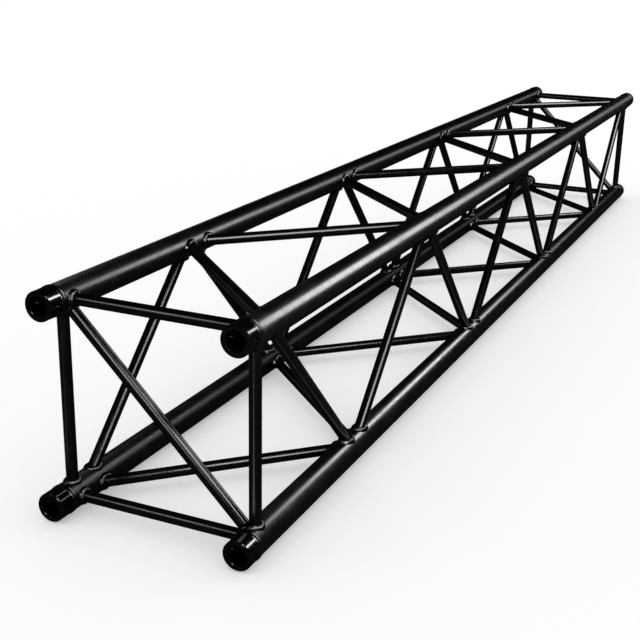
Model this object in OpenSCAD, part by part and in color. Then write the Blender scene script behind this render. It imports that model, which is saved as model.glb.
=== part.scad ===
// Lighting truss section: four main chords, zigzag web bracing on all four faces,
// an end frame at each end and a turned receiver in every chord end.
// The section lies along X. Y is its width and Z its height. It rests on its lower
// receiver welds, and the origin is under its middle.

/* [Section] */
// Length of the section, between the end faces of its receivers
truss_length = 3000; // [2000:10:4000]
// Distance between neighbouring chord centre lines, in width and in height
chord_spacing = 340; // [240:5:500]
// Half bays of zigzag bracing along each face
half_bays = 8; // [2:2:8]

/* [Main chords] */
// Outside diameter of a main chord tube
chord_od = 50; // [46:0.5:60]
// Wall of a main chord tube
chord_wall = 3; // [2:0.25:5]
// Bevel on each chord end and receiver shoulder, which makes the weld groove
groove_bevel = 1.5; // [0.5:0.25:1.75]

/* [Web bracing] */
// Outside diameter of a web brace
brace_od = 20; // [14:0.5:26]
// Wall of a web brace
brace_wall = 2; // [1:0.25:4]
// Distance along a chord between the centre lines of the two braces that meet there
brace_gap = 14; // [0:1:40]
// Distance along a chord from an end frame to the nearest brace centre line
brace_margin = 35; // [15:1:80]

/* [End frames] */
// Distance from a chord's end to the centre plane of the end frame
frame_inset = 26; // [24:1:60]
// Outside diameter of the posts and rails
frame_od = 20; // [14:0.5:24]
// Wall of the posts and rails
frame_wall = 2; // [1:0.25:4]
// Outside diameter of the end frame's diagonal
diagonal_od = 20; // [14:0.5:24]
// Wall of the end frame's diagonal
diagonal_wall = 2; // [1:0.25:4]

/* [Receivers] */
// Length of the barrel that stands out of the chord
barrel_length = 34; // [32:1:38]
// Length of the plug that sits inside the chord
plug_length = 36; // [28:1:60]
// Radial clearance between the plug and the chord's bore
plug_clearance = 0.1; // [0.05:0.05:0.5]
// Chamfer on the outer edge of the end face
rim_chamfer = 1.5; // [0.5:0.25:3]
// Chamfer on the edge of the socket's mouth
mouth_chamfer = 1; // [0.5:0.25:2]
// Diameter of the straight seat at the socket's mouth
seat_d = 32; // [30:0.5:35]
// Depth of the straight seat from the end face
seat_depth = 10; // [6:0.5:11]
// Diameter of the socket behind its taper
throat_d = 25; // [20:0.5:28]
// Depth at which the taper ends, from the end face
taper_depth = 58; // [44:1:66]
// Diameter of the cross hole for the locking pin
pin_hole_d = 12; // [8:0.5:13]
// Distance from the end face to the pin hole's centre line
pin_setback = 18; // [18:0.5:20]

/* [Welds] */
// Leg of the fillet weld around each brace and frame tube
fillet_leg = 3; // [1.5:0.25:4]
// Width of the weld between a receiver and its chord
ring_width = 12; // [6:0.5:14]
// Height of that weld's crown above the chord
ring_crown = 1.3; // [0.5:0.1:2.5]

/* [Hidden] */
$fn = 96;
coating = [0.07, 0.07, 0.08];
bead_coating = [0.16, 0.16, 0.17];
cut = 1;

chord_r = chord_od / 2;
chord_bore_r = chord_r - chord_wall;
chord_z = chord_r + ring_crown;
chord_length = truss_length - 2 * barrel_length;
frame_x = chord_length / 2 - frame_inset;
node_pitch = (2 * (frame_x - brace_margin) + brace_gap) / half_bays;

// Sides and ends as signs: left is +Y and right is -Y, front is -X and rear is +X
SIDES = [["left", 1], ["right", -1]];
LEVELS = [["top", 1], ["bottom", -1]];
ENDS = [["front", -1], ["rear", 1]];

// Each corner is [side, level]
TOP_LEFT = [1, 1];
TOP_RIGHT = [-1, 1];
BOTTOM_LEFT = [1, -1];
BOTTOM_RIGHT = [-1, -1];

// Each face with the chord that its first brace starts from, and the chord across from it
FACES = [
  ["left", BOTTOM_LEFT, TOP_LEFT],
  ["top", TOP_RIGHT, TOP_LEFT],
  ["right", TOP_RIGHT, BOTTOM_RIGHT],
  ["bottom", BOTTOM_LEFT, BOTTOM_RIGHT],
];

function corner_name(level, side) = str(level[0], "_", side[0]);
function chord_name(level, side) = str("chord_", corner_name(level, side));
function weld_name(level, side) = str("welds_", corner_name(level, side));
function receiver_name(end, level, side) =
  str("receiver_", end[0], "_", corner_name(level, side));
function web_name(face, n) = str("web_", face[0], "_", n);

// A point on a chord's centre line
function on_chord(corner, x) =
  [x, corner[0] * chord_spacing / 2, chord_z + (1 + corner[1]) * chord_spacing / 2];

// Where the centre lines of the braces at node n would meet, if they had no gap
function node_x(n) = -frame_x + brace_margin - brace_gap / 2 + n * node_pitch;

// The chord that brace n of a face starts from, and the one where it stops
function first_corner(face, n) = n % 2 == 1 ? face[1] : face[2];
function last_corner(face, n) = n % 2 == 1 ? face[2] : face[1];

function brace_start(face, n) = on_chord(first_corner(face, n), node_x(n - 1) + brace_gap / 2);
function brace_stop(face, n) = on_chord(last_corner(face, n), node_x(n) - brace_gap / 2);

// A rod is [start, stop, radius], and its start lies on the chord that it is welded to
function reversed(rod) = [rod[1], rod[0], rod[2]];
function brace_rod(face, n) = [brace_start(face, n), brace_stop(face, n), brace_od / 2];
function frame_rod(end, from, to) =
  [on_chord(from, end * frame_x), on_chord(to, end * frame_x), frame_od / 2];
function diagonal_rod(end) =
  [on_chord(TOP_LEFT, end * frame_x), on_chord(BOTTOM_RIGHT, end * frame_x), diagonal_od / 2];

// The posts and rails of an end frame, going round it
function frame_rods(end) = [
  frame_rod(end, TOP_LEFT, BOTTOM_LEFT),
  frame_rod(end, TOP_RIGHT, BOTTOM_RIGHT),
  frame_rod(end, TOP_LEFT, TOP_RIGHT),
  frame_rod(end, BOTTOM_LEFT, BOTTOM_RIGHT),
];

// How far a rod is turned about its chord, from straight up
function turn(rod) = let (run = rod[1] - rod[0]) atan2(-run.y, run.z);

// Places children at a rod's start, with their Z axis along the rod
module along(rod) {
  run = rod[1] - rod[0];
  lean = atan2(run.x, norm([run.y, run.z]));
  translate(rod[0]) rotate([turn(rod), 0, 0]) rotate([0, lean, 0]) children();
}

// A solid cylinder along a rod, with its radius grown by a margin
module rod_solid(rod, grow = 0) {
  along(rod) cylinder(r = rod[2] + grow, h = norm(rod[1] - rod[0]));
}

// A tube along a rod, open at both ends
module rod_tube(rod, wall) {
  length = norm(rod[1] - rod[0]);
  along(rod)
    difference() {
      cylinder(r = rod[2], h = length);
      translate([0, 0, -cut]) cylinder(r = rod[2] - wall, h = length + 2 * cut);
    }
}

// A solid stretch of a chord's outside, centred where a rod starts
module chord_stretch(rod, half_length, grow = 0) {
  translate(rod[0]) rotate([turn(rod), 0, 0]) rotate([0, 90, 0])
    cylinder(r = chord_r + grow, h = 2 * half_length, center = true);
}

// How far along the chord a rod's weld can reach from where their centre lines cross
function weld_reach(rod) =
  let (run = rod[1] - rod[0], lean = abs(run.x) / norm(run), rise = sqrt(1 - lean * lean))
    ((chord_r + fillet_leg) * lean + rod[2] + fillet_leg) / rise + cut;

// A rod's tube, coped at both ends to sit on the chords it joins
module coped_tube(rod, wall) {
  reach = weld_reach(rod);
  difference() {
    rod_tube(rod, wall);
    chord_stretch(rod, reach);
    chord_stretch(reversed(rod), reach);
  }
}

// The fillet weld around the rods that start at one place on a chord
module weld_bead(rods) {
  reach = max([for (rod = rods) weld_reach(rod)]);
  difference() {
    intersection() {
      union() {
        for (rod = rods) rod_solid(rod, fillet_leg);
      }
      chord_stretch(rods[0], reach, fillet_leg);
    }
    chord_stretch(rods[0], reach + cut);
    for (rod = rods) rod_solid(rod);
  }
}

// One main chord tube, with its ends bevelled for the receiver welds
module chord(corner) {
  color(coating)
    translate(on_chord(corner, 0)) rotate([0, 90, 0])
      difference() {
        rotate_extrude() chord_profile();
        translate([0, 0, -chord_length / 2 - cut])
          cylinder(r = chord_bore_r, h = chord_length + 2 * cut);
      }
}

// Half of a chord's long section, radius across and length up
module chord_profile() {
  half = chord_length / 2;
  polygon([
    [0, -half],
    [chord_r - groove_bevel, -half],
    [chord_r, -half + groove_bevel],
    [chord_r, half - groove_bevel],
    [chord_r - groove_bevel, half],
    [0, half],
  ]);
}

// Puts a receiver's parts at one chord end, with +Z of the shape pointing into the truss
module at_chord_end(end, corner) {
  translate(on_chord(corner, end * truss_length / 2)) rotate([0, -90 * end, 0]) children();
}

// The turned body of a receiver, radius across and depth from the end face up
module receiver_profile() {
  plug_r = chord_bore_r - plug_clearance;
  total = barrel_length + plug_length;
  polygon([
    [0, 0],
    [chord_r - rim_chamfer, 0],
    [chord_r, rim_chamfer],
    [chord_r, barrel_length - groove_bevel],
    [chord_r - groove_bevel, barrel_length],
    [plug_r, barrel_length],
    [plug_r, total],
    [0, total],
  ]);
}

// The tapered socket for a conical coupler
module socket() {
  seat_r = seat_d / 2;
  throat_r = throat_d / 2;
  translate([0, 0, -cut]) cylinder(r = seat_r, h = seat_depth + cut);
  translate([0, 0, -cut])
    cylinder(r1 = seat_r + mouth_chamfer + cut, r2 = seat_r, h = mouth_chamfer + cut);
  translate([0, 0, seat_depth])
    cylinder(r1 = seat_r, r2 = throat_r, h = taper_depth - seat_depth);
  translate([0, 0, taper_depth - cut])
    cylinder(r = throat_r, h = barrel_length + plug_length);
}

// One receiver: a socket for a coupler, crossed by the hole for its locking pin
module receiver(end, corner) {
  color(coating)
    at_chord_end(end[1], corner)
      difference() {
        rotate_extrude() receiver_profile();
        socket();
        translate([0, 0, pin_setback]) rotate([90, 0, 0])
          cylinder(d = pin_hole_d, h = 2 * (chord_r + cut), center = true);
      }
}

// Half of a receiver weld's section: a crown on the chord's surface and a root in the groove
module ring_profile() {
  half = ring_width / 2;
  top = chord_r + ring_crown;
  shoulder = chord_r + 0.75 * ring_crown;
  polygon([
    [chord_r - groove_bevel, 0],
    [chord_r, -groove_bevel],
    [chord_r, -half],
    [shoulder, -0.55 * half],
    [top, -0.15 * half],
    [top, 0.15 * half],
    [shoulder, 0.55 * half],
    [chord_r, half],
    [chord_r, groove_bevel],
  ]);
}

// The crowned weld that fills the groove between a receiver and its chord
module ring_weld(end, corner) {
  at_chord_end(end, corner)
    translate([0, 0, barrel_length]) rotate_extrude() ring_profile();
}

// The eight receiver welds
module receiver_welds() {
  color(bead_coating)
    for (end = ENDS, level = LEVELS, side = SIDES)
      ring_weld(end[1], [side[1], level[1]]);
}

// An upright of an end frame
module post(end, side) {
  color(coating)
    coped_tube(frame_rod(end[1], [side[1], 1], [side[1], -1]), frame_wall);
}

// A crossbar of an end frame
module rail(end, level) {
  color(coating)
    coped_tube(frame_rod(end[1], [1, level[1]], [-1, level[1]]), frame_wall);
}

// The diagonal of an end frame, notched at its ends to clear the post and rail beside it
module diagonal(end) {
  color(coating)
    difference() {
      coped_tube(diagonal_rod(end[1]), diagonal_wall);
      for (rod = frame_rods(end[1])) rod_solid(rod);
    }
}

// One brace of a face's zigzag
module web_brace(face, n) {
  color(coating) coped_tube(brace_rod(face, n), brace_wall);
}

// Whether two corners are the same
function same(a, b) = a[0] == b[0] && a[1] == b[1];

// The rods of an end frame that meet one chord, each starting on it
function frame_rods_at(end, corner) = concat(
  [frame_rod(end, corner, [corner[0], -corner[1]]), frame_rod(end, corner, [-corner[0], corner[1]])],
  same(corner, TOP_LEFT) ? [diagonal_rod(end)] : [],
  same(corner, BOTTOM_RIGHT) ? [reversed(diagonal_rod(end))] : []
);

// All the fillet welds of one chord
module chord_welds(corner) {
  color(bead_coating) {
    for (end = ENDS) weld_bead(frame_rods_at(end[1], corner));
    for (face = FACES, n = [1:half_bays]) {
      rod = brace_rod(face, n);
      if (same(first_corner(face, n), corner)) weld_bead([rod]);
      if (same(last_corner(face, n), corner)) weld_bead([reversed(rod)]);
    }
  }
}

for (level = LEVELS, side = SIDES) {
  corner = [side[1], level[1]];
  chord(corner);
  chord_welds(corner);
  for (end = ENDS)
    receiver(end, corner);
}
for (end = ENDS, side = SIDES)
  post(end, side);
for (end = ENDS, level = LEVELS)
  rail(end, level);
for (end = ENDS)
  diagonal(end);
for (face = FACES, n = [1:half_bays])
  web_brace(face, n);
receiver_welds();
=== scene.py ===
import math

import bmesh
import bpy
from mathutils import Matrix, Vector, noise


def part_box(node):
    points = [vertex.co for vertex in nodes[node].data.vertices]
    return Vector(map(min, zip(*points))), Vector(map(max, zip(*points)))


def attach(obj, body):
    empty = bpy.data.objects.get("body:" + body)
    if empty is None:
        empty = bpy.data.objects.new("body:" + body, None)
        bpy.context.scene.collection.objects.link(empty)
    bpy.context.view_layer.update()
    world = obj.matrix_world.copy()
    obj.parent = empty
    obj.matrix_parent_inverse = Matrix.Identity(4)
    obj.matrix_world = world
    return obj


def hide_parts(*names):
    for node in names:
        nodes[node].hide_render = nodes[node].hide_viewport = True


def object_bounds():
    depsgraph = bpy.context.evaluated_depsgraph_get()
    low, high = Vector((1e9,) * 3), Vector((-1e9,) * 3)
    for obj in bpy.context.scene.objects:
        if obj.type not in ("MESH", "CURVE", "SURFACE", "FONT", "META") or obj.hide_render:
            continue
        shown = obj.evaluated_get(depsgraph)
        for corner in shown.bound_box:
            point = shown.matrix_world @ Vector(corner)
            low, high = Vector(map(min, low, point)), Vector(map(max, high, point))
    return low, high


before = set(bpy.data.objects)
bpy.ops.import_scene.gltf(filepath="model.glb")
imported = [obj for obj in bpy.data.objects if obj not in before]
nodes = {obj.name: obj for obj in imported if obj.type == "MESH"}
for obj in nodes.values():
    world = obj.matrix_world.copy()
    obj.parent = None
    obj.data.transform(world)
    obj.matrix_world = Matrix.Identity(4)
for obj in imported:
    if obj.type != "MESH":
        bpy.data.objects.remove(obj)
cad_low, cad_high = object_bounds()
scene = bpy.context.scene
scene.view_settings.view_transform = "Standard"

ENDS = {"front": -1, "rear": 1}
SIDES = {"left": 1, "right": -1}
LEVELS = {"top": 1, "bottom": -1}
CORNERS = [f"{level}_{side}" for level in LEVELS for side in SIDES]

# ---- Camera: the photograph's place and angle ----

EYE = Vector((-2.801, -0.8866, 0.8969))
HEADING = 24.305  # degrees from +X towards +Y
PITCH = -18.520  # degrees from the horizon
ROLL = 1.087  # degrees
LENS = 63.42  # mm
SENSOR = 36  # mm
NEAR, FAR = 0.05, 200


def add_camera():
    data = bpy.data.cameras.new("camera")
    data.lens = LENS
    data.sensor_width = SENSOR
    data.clip_start, data.clip_end = NEAR, FAR
    camera = bpy.data.objects.new("camera", data)
    scene.collection.objects.link(camera)
    turn = Matrix.Rotation(math.radians(HEADING - 90), 4, "Z")
    tilt = Matrix.Rotation(math.radians(90 + PITCH), 4, "X")
    roll = Matrix.Rotation(math.radians(ROLL), 4, "Z")
    camera.matrix_world = Matrix.Translation(EYE) @ turn @ tilt @ roll
    scene.camera = camera


# ---- Node helpers ----


def new_material(name):
    material = bpy.data.materials.new(name)
    material.use_nodes = True
    material.node_tree.nodes.clear()
    return material, material.node_tree


def put(tree, socket, value):
    """Links value to the socket if it is another socket, and sets it there if it is a number."""
    if isinstance(value, bpy.types.NodeSocket):
        tree.links.new(value, socket)
    else:
        socket.default_value = value


def calculate(tree, operation, a, b=0.0, clamp=False):
    node = tree.nodes.new("ShaderNodeMath")
    node.operation, node.use_clamp = operation, clamp
    put(tree, node.inputs[0], a)
    put(tree, node.inputs[1], b)
    return node.outputs[0]


def spread(tree, value, low, high, out_low=0.0, out_high=1.0):
    """Maps value from low..high to out_low..out_high, and holds it there outside."""
    node = tree.nodes.new("ShaderNodeMapRange")
    put(tree, node.inputs["Value"], value)
    for name, number in zip(
        ("From Min", "From Max", "To Min", "To Max"), (low, high, out_low, out_high)
    ):
        put(tree, node.inputs[name], number)
    return node.outputs[0]


def pattern(tree, scale, detail=2.0, stretch=(1, 1, 1)):
    """Noise over the object's own metres, scale features per metre."""
    place = tree.nodes.new("ShaderNodeTexCoord")
    mapping = tree.nodes.new("ShaderNodeMapping")
    mapping.inputs["Scale"].default_value = stretch
    tree.links.new(place.outputs["Object"], mapping.inputs["Vector"])
    node = tree.nodes.new("ShaderNodeTexNoise")
    node.inputs["Scale"].default_value = scale
    node.inputs["Detail"].default_value = detail
    tree.links.new(mapping.outputs[0], node.inputs["Vector"])
    return node.outputs["Fac"]


def mix_colours(tree, share, first, second):
    node = tree.nodes.new("ShaderNodeMix")
    node.data_type = "RGBA"
    put(tree, node.inputs[0], share)
    node.inputs[6].default_value = (*first, 1)
    node.inputs[7].default_value = (*second, 1)
    return node.outputs[2]


# ---- Studio ----

BACKDROP = 1.0  # what the camera sees of the world
HORIZON = 0.4  # what reflections see near the horizon
CEILING = 0.05  # what reflections see above it
CEILING_FROM, CEILING_TO = 0.02, 0.30  # sine of the elevation where the horizon fades out
WORLD_LIGHT = 0.8  # what the world sends out as light
FLOOR_COLOUR = 0.80
FLOOR_GLOW = 0.36  # only the camera sees it, so the floor is nearly white and keeps its shadow
FLOOR_RADIUS = 60
FLOOR_DROP = 0.0002  # below the object
SIDEWAYS = 0.3  # a lamp that faces more than this along Y has its width along X


def seen(tree):
    """1 for camera, glossy and transmission rays, and 0 for the rays that carry light."""
    path = tree.nodes.new("ShaderNodeLightPath")
    total = calculate(
        tree, "MAXIMUM", path.outputs["Is Camera Ray"], path.outputs["Is Glossy Ray"]
    )
    return calculate(tree, "MAXIMUM", total, path.outputs["Is Transmission Ray"])


def add_world():
    world = bpy.data.worlds.new("studio")
    scene.world = world
    world.use_nodes = True
    tree = world.node_tree
    tree.nodes.clear()
    place = tree.nodes.new("ShaderNodeTexCoord")
    parts = tree.nodes.new("ShaderNodeSeparateXYZ")
    tree.links.new(place.outputs["Generated"], parts.inputs[0])
    mirrored = spread(tree, parts.outputs[2], CEILING_FROM, CEILING_TO, HORIZON, CEILING)
    path = tree.nodes.new("ShaderNodeLightPath")
    camera_part = calculate(tree, "MULTIPLY", path.outputs["Is Camera Ray"], BACKDROP)
    shown = calculate(tree, "MAXIMUM", mirrored, camera_part)
    lit = calculate(
        tree, "MULTIPLY", calculate(tree, "SUBTRACT", 1.0, seen(tree)), WORLD_LIGHT
    )
    strength = calculate(
        tree, "ADD", calculate(tree, "MULTIPLY", shown, seen(tree)), lit
    )
    shade = tree.nodes.new("ShaderNodeBackground")
    shade.inputs["Color"].default_value = (1, 1, 1, 1)
    put(tree, shade.inputs["Strength"], strength)
    out = tree.nodes.new("ShaderNodeOutputWorld")
    tree.links.new(shade.outputs[0], out.inputs["Surface"])


def add_floor():
    material, tree = new_material("floor")
    matte = tree.nodes.new("ShaderNodeBsdfDiffuse")
    matte.inputs["Color"].default_value = (FLOOR_COLOUR,) * 3 + (1,)
    glow = tree.nodes.new("ShaderNodeEmission")
    path = tree.nodes.new("ShaderNodeLightPath")
    glow_seen = calculate(tree, "MULTIPLY", path.outputs["Is Camera Ray"], FLOOR_GLOW)
    put(tree, glow.inputs["Strength"], glow_seen)
    both = tree.nodes.new("ShaderNodeAddShader")
    tree.links.new(matte.outputs[0], both.inputs[0])
    tree.links.new(glow.outputs[0], both.inputs[1])
    out = tree.nodes.new("ShaderNodeOutputMaterial")
    tree.links.new(both.outputs[0], out.inputs["Surface"])
    mesh = bpy.data.meshes.new("floor")
    shape = bmesh.new()
    bmesh.ops.create_circle(shape, cap_ends=True, segments=64, radius=FLOOR_RADIUS)
    shape.to_mesh(mesh)
    shape.free()
    mesh.materials.append(material)
    floor = bpy.data.objects.new("floor", mesh)
    floor.location.z = cad_low.z - FLOOR_DROP
    scene.collection.objects.link(floor)


def receivers_of(name, things):
    group = bpy.data.collections.new(name)
    for thing in things:
        group.objects.link(thing)
    return group


def add_softbox(name, centre, target, width, height, radiance, things):
    """A rectangular lamp that shows only as gloss on the things it lights.

    A coat mirrors less than a hundredth of what it faces, so the radiance of a lamp is high.
    """
    data = bpy.data.lights.new(name, "AREA")
    data.shape = "RECTANGLE"
    data.size, data.size_y = width, height
    data.energy = radiance * math.pi * width * height
    lamp = bpy.data.objects.new(name, data)
    centre = Vector(centre)
    back = (centre - Vector(target)).normalized()
    if abs(back.y) > SIDEWAYS:
        along = (Vector((1, 0, 0)) - back * back.x).normalized()
    else:
        along = Vector((0, 1, 0)).cross(back).normalized()
    axes = Matrix((along, back.cross(along), back)).transposed()
    lamp.matrix_world = Matrix.Translation(centre) @ axes.to_4x4()
    lamp.visible_camera = lamp.visible_diffuse = False
    scene.collection.objects.link(lamp)
    lamp.light_linking.receiver_collection = receivers_of(name, things)


# ---- Coatings ----

BLACK = (0.0012, 0.0012, 0.0013)
SCUFFED = (0.0060, 0.0060, 0.0064)
HANDLED = 14  # patches of handling per metre
HANDLED_FROM, HANDLED_TO = 0.50, 0.72  # of the noise, where a patch starts and is full
GRAIN_FROM, GRAIN_TO = 0.35, 0.65  # the same of the grain inside a patch
CLOUDS = 55  # clouds of roughness per metre
CLOUDS_FROM, CLOUDS_TO = 0.3, 0.7  # of the noise, where the coat is smoothest and roughest
CLOUDING = 0.03  # how far they move the roughness
DULLING = 0.10  # what wear adds to the roughness
RUBS = 160  # rubbed spots per metre of a receiver's end face
RUBS_FROM, RUBS_TO = 0.5, 0.7  # of the noise, where a spot starts and is full
FACE_FROM, FACE_TO = 0.0018, 0.0006  # where that wear starts and is full, from the end
LINES = 260  # extrusion lines per metre
LINE_STRETCH = 0.008  # of their scale, along X
GLOSS_FALL = 3.0  # how fast the gloss fades towards grazing angles
BUMP = 0.001  # metres for a height of 1


def coating(name, roughness, peel, peel_size, drawn=0.0, rim=0.0, gloss=0.07):
    """Black coating on aluminium.

    peel is the strength of its orange peel and peel_size the width of one dimple, drawn the
    strength of the extrusion's fine lines under it, rim the wear on a receiver's end face, and
    gloss the specular level where the surface faces the eye.
    """
    material, tree = new_material(name)
    shade = tree.nodes.new("ShaderNodeBsdfPrincipled")
    out = tree.nodes.new("ShaderNodeOutputMaterial")
    tree.links.new(shade.outputs[0], out.inputs["Surface"])

    handled = spread(tree, pattern(tree, HANDLED, 4), HANDLED_FROM, HANDLED_TO)
    grain = pattern(tree, 1 / peel_size, 1.5)
    worn = calculate(tree, "MULTIPLY", handled, spread(tree, grain, GRAIN_FROM, GRAIN_TO))
    if rim:
        place = tree.nodes.new("ShaderNodeTexCoord")
        parts = tree.nodes.new("ShaderNodeSeparateXYZ")
        tree.links.new(place.outputs["Object"], parts.inputs[0])
        away = calculate(tree, "ABSOLUTE", parts.outputs[0])
        face = spread(tree, away, cad_high.x - FACE_FROM, cad_high.x - FACE_TO)
        spots = spread(tree, pattern(tree, RUBS, 4), RUBS_FROM, RUBS_TO, 0, rim)
        rubbed = calculate(tree, "MULTIPLY", face, spots)
        worn = calculate(tree, "MAXIMUM", worn, rubbed)
    put(tree, shade.inputs["Base Color"], mix_colours(tree, worn, BLACK, SCUFFED))
    dull = calculate(tree, "MULTIPLY", worn, DULLING)
    smooth, rough = roughness - CLOUDING, roughness + CLOUDING
    cloud = spread(tree, pattern(tree, CLOUDS, 3), CLOUDS_FROM, CLOUDS_TO, smooth, rough)
    put(tree, shade.inputs["Roughness"], calculate(tree, "ADD", cloud, dull))

    weight = tree.nodes.new("ShaderNodeLayerWeight")
    weight.inputs["Blend"].default_value = 0.5
    facing = calculate(tree, "SUBTRACT", 1.0, weight.outputs["Facing"])
    level = calculate(tree, "MULTIPLY", calculate(tree, "POWER", facing, GLOSS_FALL), gloss)
    put(tree, shade.inputs["Specular IOR Level"], level)

    height = calculate(tree, "MULTIPLY", grain, peel)
    if drawn:
        lines = pattern(tree, LINES, 2, stretch=(LINE_STRETCH, 1, 1))
        height = calculate(tree, "ADD", height, calculate(tree, "MULTIPLY", lines, drawn))
    bump = tree.nodes.new("ShaderNodeBump")
    bump.inputs["Strength"].default_value = 1
    bump.inputs["Distance"].default_value = BUMP
    put(tree, bump.inputs["Height"], height)
    tree.links.new(bump.outputs[0], shade.inputs["Normal"])
    return material


# ---- Weld beads ----

CHORD_LEG = 0.0062  # of a fillet weld, along the chord
ROD_LEG = 0.0048  # of a fillet weld, along the brace or frame tube
FULLNESS = 0.86  # of the bead's crown; 1 would be a quarter circle
FILLET_STEPS = 170  # sections round one fillet
CROWN_POINTS = 7  # of a section, from the chord to the brace
UNEVEN, UNEVEN_SCALE = 0.07, 160  # how far a fillet's legs wander, and how often per metre
TIE_IN, TIE_IN_WIDTH = 0.10, 0.0035  # the swelling where a run of weld meets its start
RIPPLE = 0.0026  # from one ripple to the next
RIPPLE_DEPTH = 0.13  # of the leg
RIPPLE_EDGE = 0.35  # of that depth, at a bead's edges
RIPPLE_LEAN = 0.0011  # how far a ripple's middle runs ahead of its edges
DRIFT, DRIFT_SCALE = 0.35, 90  # how far ripples wander from even spacing, and how often
SHARPNESS = 0.7  # of the grooves; lower is sharper
RING_STEPS = 378  # sections round one ring
RING_POINTS = 9  # of a section, across the ring
RING_RIPPLE = 0.0030
RING_DEPTH = 0.32  # of the crown
RING_LEAN = 0.0016
RING_HALF = 0.006
RING_FALL = 0.8  # how the ring's crown falls to its sides; lower is fuller
RING_FLATTER, RING_NARROWER = 0.08, 0.07  # the most that unevenness takes off the ring
RING_ROOT, RING_ROOT_HALF = 0.0012, 0.0008  # depth and half width of what the chord hides
CROWN_SPARE = 0.0001  # keeps a receiver's ring inside the frame's own
SUNK = 0.0005  # how far a bead's edge goes into the metal it sits on
BRACES = 8  # on each face
BRACE_RUN = 0.339  # of a brace along the chords, between their centre lines

# Each face with the chord where its first brace starts, and the chord across from it
FACES = {
    "left": ("bottom_left", "top_left"),
    "top": ("top_right", "top_left"),
    "right": ("top_right", "bottom_right"),
    "bottom": ("bottom_left", "bottom_right"),
}


def chord_axis(corner):
    low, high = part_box("chord_" + corner)
    return (low + high) / 2


def chord_radius():
    low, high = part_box("chord_top_left")
    return (high.z - low.z) / 2


def web_rods(face):
    """(first corner, start, last corner, stop, radius) of each brace of a face."""
    found = []
    for n in range(1, BRACES + 1):
        low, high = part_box(f"web_{face}_{n}")
        first, last = FACES[face] if n % 2 else reversed(FACES[face])
        start, stop = chord_axis(first), chord_axis(last)
        middle = (low.x + high.x) / 2
        start.x, stop.x = middle - BRACE_RUN / 2, middle + BRACE_RUN / 2
        thin = 1 if face in ("left", "right") else 2
        found.append((first, start, last, stop, (high[thin] - low[thin]) / 2))
    return found


def frame_rods(end):
    pairs = {f"post_{end}_{side}": (f"top_{side}", f"bottom_{side}") for side in SIDES}
    pairs |= {f"rail_{end}_{level}": (f"{level}_left", f"{level}_right") for level in LEVELS}
    pairs[f"diagonal_{end}"] = ("top_left", "bottom_right")
    found = []
    for node, (first, last) in pairs.items():
        low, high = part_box(node)
        start, stop = chord_axis(first), chord_axis(last)
        start.x = stop.x = (low.x + high.x) / 2
        found.append((first, start, last, stop, (high.x - low.x) / 2))
    return found


def rod_ends():
    """{corner: [(where a rod's centre line starts on that chord, its direction, radius)]}"""
    found = {corner: [] for corner in CORNERS}
    rods = [rod for face in FACES for rod in web_rods(face)]
    rods += [rod for end in ENDS for rod in frame_rods(end)]
    for first, start, last, stop, radius in rods:
        way = (stop - start).normalized()
        found[first].append((start, way, radius))
        found[last].append((stop, -way, radius))
    return found


def toe(start, way, radius, angle, chord_r):
    """Where the rod's surface meets the chord's at an angle round the rod, with both normals."""
    side = Vector((1, 0, 0)).cross(way).normalized()
    other = way.cross(side)
    out = side * math.cos(angle) + other * math.sin(angle)
    a = Vector((out.y, out.z)) * radius
    b = Vector((way.y, way.z))
    ab, bb = a.dot(b), b.dot(b)
    t = (-ab + math.sqrt(ab * ab - bb * (a.dot(a) - chord_r**2))) / bb
    point = start + out * radius + way * t
    chord_normal = Vector((0, point.y - start.y, point.z - start.z)).normalized()
    return point, chord_normal, out


def ripple_height(along, pitch, seed):
    """1 at a ripple's crest and 0 in the groove between two, with uneven spacing."""
    drift = DRIFT * noise.noise(Vector((along * DRIFT_SCALE, seed, 0.0)))
    return abs(math.sin(math.pi * (along / pitch + drift))) ** SHARPNESS


def lay_bead(shape, rings):
    """Skins closed sections, all with the same number of points, into a closed ring."""
    rows = [[shape.verts.new(point) for point in ring] for ring in rings]
    for row, following in zip(rows, rows[1:] + rows[:1]):
        for i in range(len(row)):
            j = (i + 1) % len(row)
            face = shape.faces.new((row[i], row[j], following[j], following[i]))
            face.smooth = True


def over_chord(offset, around, normal, chord_r):
    """An offset from a point on the chord, bent to follow the chord's round surface."""
    sideways = offset.dot(around)
    return offset - normal * (chord_r - math.sqrt(chord_r**2 - sideways**2))


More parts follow.
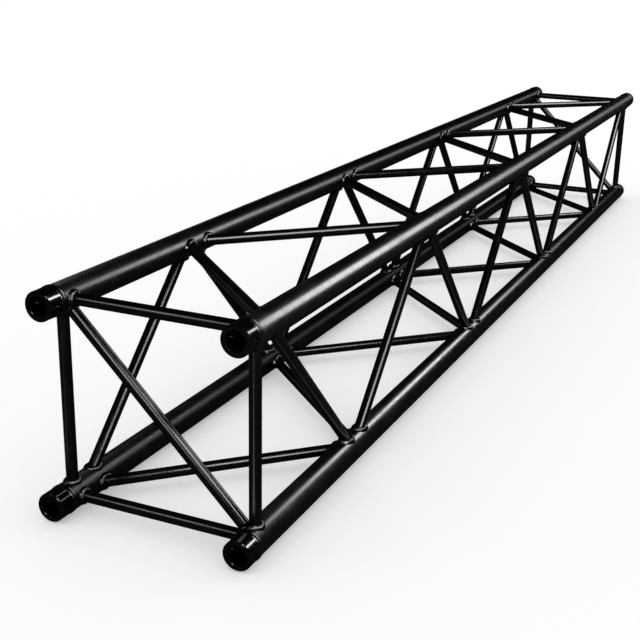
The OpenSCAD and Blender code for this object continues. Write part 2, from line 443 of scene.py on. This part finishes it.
def fillet(shape, start, way, radius, chord_r, seed):
    """The weld round a rod that starts on a chord's centre line and runs out along way."""
    steps = FILLET_STEPS
    toes = [toe(start, way, radius, 2 * math.pi * k / steps, chord_r) for k in range(steps)]
    gaps = [(toes[(k + 1) % steps][0] - toes[k][0]).length for k in range(steps)]
    length = sum(gaps)
    pitch = length / round(length / RIPPLE)
    rings, along = [], 0.0
    for k, (point, chord_normal, rod_normal) in enumerate(toes):
        run = chord_normal.cross(rod_normal).normalized()
        on_chord = run.cross(chord_normal)
        on_chord *= math.copysign(1, on_chord.dot(rod_normal))
        on_rod = run.cross(rod_normal)
        on_rod *= math.copysign(1, on_rod.dot(chord_normal))
        tie_in = TIE_IN * math.exp(-((min(along, length - along) / TIE_IN_WIDTH) ** 2))
        uneven = 1 + UNEVEN * noise.noise(Vector((seed, along * UNEVEN_SCALE, 3.0))) + tie_in
        around = Vector((1, 0, 0)).cross(chord_normal)
        ring = [point - (chord_normal + rod_normal) * SUNK]
        edge = over_chord(on_chord * CHORD_LEG * uneven, around, chord_normal, chord_r)
        ring.append(point + edge - chord_normal * SUNK)
        for i in range(CROWN_POINTS):
            share = (i + 0.25) / (CROWN_POINTS - 0.5)
            bow = 4 * share * (1 - share)
            lift = ripple_height(along + RIPPLE_LEAN * bow, pitch, seed)
            leg = CHORD_LEG + (ROD_LEG - CHORD_LEG) * share
            reach = leg * uneven * (1 - (1 - FULLNESS) * bow)
            reach *= 1 - RIPPLE_DEPTH * (1 - lift) * (RIPPLE_EDGE + (1 - RIPPLE_EDGE) * bow)
            turn = on_chord.slerp(on_rod, share)
            ring.append(point + over_chord(turn * reach, around, chord_normal, chord_r))
        ring.append(point + on_rod * ROD_LEG * uneven - rod_normal * SUNK)
        rings.append(ring)
        along += gaps[k]
    lay_bead(shape, rings)


def ring_weld(shape, centre, chord_r, crown, seed):
    """The weld round a chord's end, where its receiver starts."""
    steps = RING_STEPS
    pitch = 2 * math.pi * chord_r / round(2 * math.pi * chord_r / RING_RIPPLE)
    rings = []
    for k in range(steps):
        angle = 2 * math.pi * k / steps
        along = angle * chord_r
        out = Vector((0, math.cos(angle), math.sin(angle)))
        uneven = 0.5 + 0.5 * noise.noise(Vector((seed, math.cos(angle), math.sin(angle))) * 4)
        ring = [centre + out * (chord_r - RING_ROOT) + Vector((-RING_ROOT_HALF, 0, 0))]
        ring.append(centre + out * (chord_r - SUNK) + Vector((-RING_HALF, 0, 0)))
        for i in range(RING_POINTS):
            across = (i + 0.5) / (RING_POINTS / 2) - 1
            bow = 1 - across * across
            lift = ripple_height(along + RING_LEAN * bow, pitch, seed)
            height = crown * bow**RING_FALL * (1 - RING_DEPTH * (1 - lift))
            height *= 1 - RING_FLATTER * uneven
            half = RING_HALF * (1 - RING_NARROWER * uneven)
            ring.append(centre + out * (chord_r + height) + Vector((across * half, 0, 0)))
        ring.append(centre + out * (chord_r - SUNK) + Vector((RING_HALF, 0, 0)))
        ring.append(centre + out * (chord_r - RING_ROOT) + Vector((RING_ROOT_HALF, 0, 0)))
        rings.append(ring)
    lay_bead(shape, rings)


def make_piece(name, shape, material, node):
    bmesh.ops.recalc_face_normals(shape, faces=shape.faces)
    mesh = bpy.data.meshes.new(name)
    shape.to_mesh(mesh)
    shape.free()
    mesh.materials.append(material)
    piece = bpy.data.objects.new(name, mesh)
    scene.collection.objects.link(piece)
    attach(piece, "root")
    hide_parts(node)
    return piece


def add_welds(material):
    chord_r = chord_radius()
    made = []
    seed = 0.0
    for corner, ends in rod_ends().items():
        shape = bmesh.new()
        for start, way, radius in ends:
            seed += 1.7
            fillet(shape, start, way, radius, chord_r, seed)
        made.append(make_piece(f"beads_{corner}", shape, material, f"welds_{corner}"))
    shape = bmesh.new()
    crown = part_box("receiver_welds")[1].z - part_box("chord_top_left")[1].z - CROWN_SPARE
    for corner in CORNERS:
        for sign in ENDS.values():
            seed += 1.7
            centre = chord_axis(corner)
            centre.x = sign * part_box("chord_" + corner)[1].x
            ring_weld(shape, centre, chord_r, crown, seed)
    made.append(make_piece("receiver_beads", shape, material, "receiver_welds"))
    return made


# ---- The object ----

add_camera()
add_world()
add_floor()

chord_coat = coating("chord_coat", 0.30, 0.010, 0.0018, drawn=0.004)
brace_coat = coating("brace_coat", 0.20, 0.0015, 0.0018)
receiver_coat = coating("receiver_coat", 0.14, 0.0015, 0.0016, rim=0.5, gloss=0.05)
bead_coat = coating("bead_coat", 0.17, 0.003, 0.0012, gloss=0.12)
for name, thing in nodes.items():
    kind = name.split("_")[0]
    coat = {"chord": chord_coat, "receiver": receiver_coat}.get(kind, brace_coat)
    thing.material_slots[0].material = coat
beads = add_welds(bead_coat)

# ---- Lights ----


def named(*starts):
    return [thing for name, thing in nodes.items() if name.startswith(starts)]


tubes = named("web", "post", "rail", "diagonal")
small = tubes + named("receiver") + beads
chords_and_rear = named("chord", "receiver_rear")
ends = named("receiver_front_bottom_right", "receiver_rear")
lower_ends = named("receiver_front_bottom", "receiver_rear_bottom")
middle = (cad_low + cad_high) / 2

# Strips along X over each chord: y, z, height, and (from, to, radiance) along X
STRIPS = {
    "chord_top_right": (-1.21, 1.26, 1.05, ((0.7, 2.0, 240), (2.0, 3.6, 84), (3.6, 9.0, 26))),
    "chord_top_left": (-1.17, 1.17, 0.80, ((0.6, 1.3, 145), (1.3, 2.6, 66), (2.6, 9.0, 22))),
    "chord_bottom_left": (-0.90, 1.35, 1.00, ((0.2, 1.1, 60), (1.1, 9.0, 8))),
    "chord_bottom_right": (-0.46, 1.40, 0.62, ((0.4, 1.0, 80), (1.0, 2.6, 290), (2.6, 4.6, 50))),
}
for name, (y, z, height, spans) in STRIPS.items():
    for k, (x_from, x_to, radiance) in enumerate(spans):
        x = (x_from + x_to) / 2
        add_softbox(
            f"strip_{name}_{k}",
            (x, y, z),
            (x, 0, middle.z),
            x_to - x_from,
            height,
            radiance,
            [nodes[name]],
        )

# The other softboxes: what they light, centre, target, width, height, radiance
SOFTBOXES = {
    "key": (small, (-3.2, -0.62, 1.50), (-1.0, 0, 0.2), 1.30, 0.55, 56),
    "key_side": (small, (-1.5, -1.25, 1.25), (-1.0, 0, 0.2), 1.10, 0.75, 95),
    "left": (small, (-2.85, 1.00, 1.25), (-1.2, 0, 0.2), 0.70, 0.50, 45),
    "right": (tubes + beads, (1.35, -1.10, 1.60), (1.0, 0, 0.2), 0.90, 1.10, 140),
    "right_far": (tubes + beads, (3.6, -1.20, 1.30), (1.5, 0, 0.2), 3.00, 0.70, 20),
    "ends_side": (ends, (0.95, -1.40, 1.45), (0, 0, 0.2), 1.60, 0.38, 400),
    "end_top_left": (
        named("receiver_front_top_left"), (0.75, -1.22, 1.66), (0, 0, 0.2), 1.40, 0.42, 430
    ),
    "end_top_right": (
        named("receiver_front_top_right"), (0.95, -1.40, 1.45), (0, 0, 0.2), 1.40, 0.42, 190
    ),
    "end_bottom_left": (
        named("receiver_front_bottom_left"), (0.75, -1.40, 1.45), (0, 0, 0.2), 1.40, 0.36, 80
    ),
    "ends_above": (lower_ends, (0.10, 0.13, 1.50), (0.1, 0, 0.2), 0.80, 0.16, 170),
    "end_bottom_right": (
        named("receiver_front_bottom_right"), (0.50, 0.62, 1.35), (0.5, -0.1, 0.1), 1.10, 1.10, 16
    ),
    "post_left_low": (
        named("post_front_left"), (-1.95, 0.28, 0.02), (-1.95, 0.28, 0.2), 0.80, 0.12, 4
    ),
    "post_right_low": (
        named("post_front_right"), (-1.95, -0.17, 0.02), (-1.95, -0.17, 0.2), 0.80, 0.10, 16
    ),
    "right_low": (named("web_right"), (-0.1, -0.215, 0.004), (-0.1, -0.18, 0.2), 2.8, 0.03, 5),
    "back_line": (named("web_top", "web_bottom"), (-0.5, 1.45, 0.50), (-0.5, 0, 0.2), 2, 0.2, 5),
    "back_line_far": (named("web_top"), (1.7, 1.45, 0.42), (1.7, 0, 0.2), 2.4, 0.2, 16),
    "back_low": (named("chord_top_left"), (0.5, 1.70, 0.20), (0.5, 0, 0.2), 13.0, 0.40, 24),
    "back_above": (chords_and_rear, (-3.6, 1.12, 1.35), (-3.6, 0, 0.2), 6.80, 0.80, 120),
    "front_above": (chords_and_rear, (-3.6, -1.12, 1.35), (-3.6, 0, 0.2), 6.80, 0.80, 120),
}
for name, (things, centre, target, width, height, radiance) in SOFTBOXES.items():
    add_softbox(f"softbox_{name}", centre, target, width, height, radiance, things)
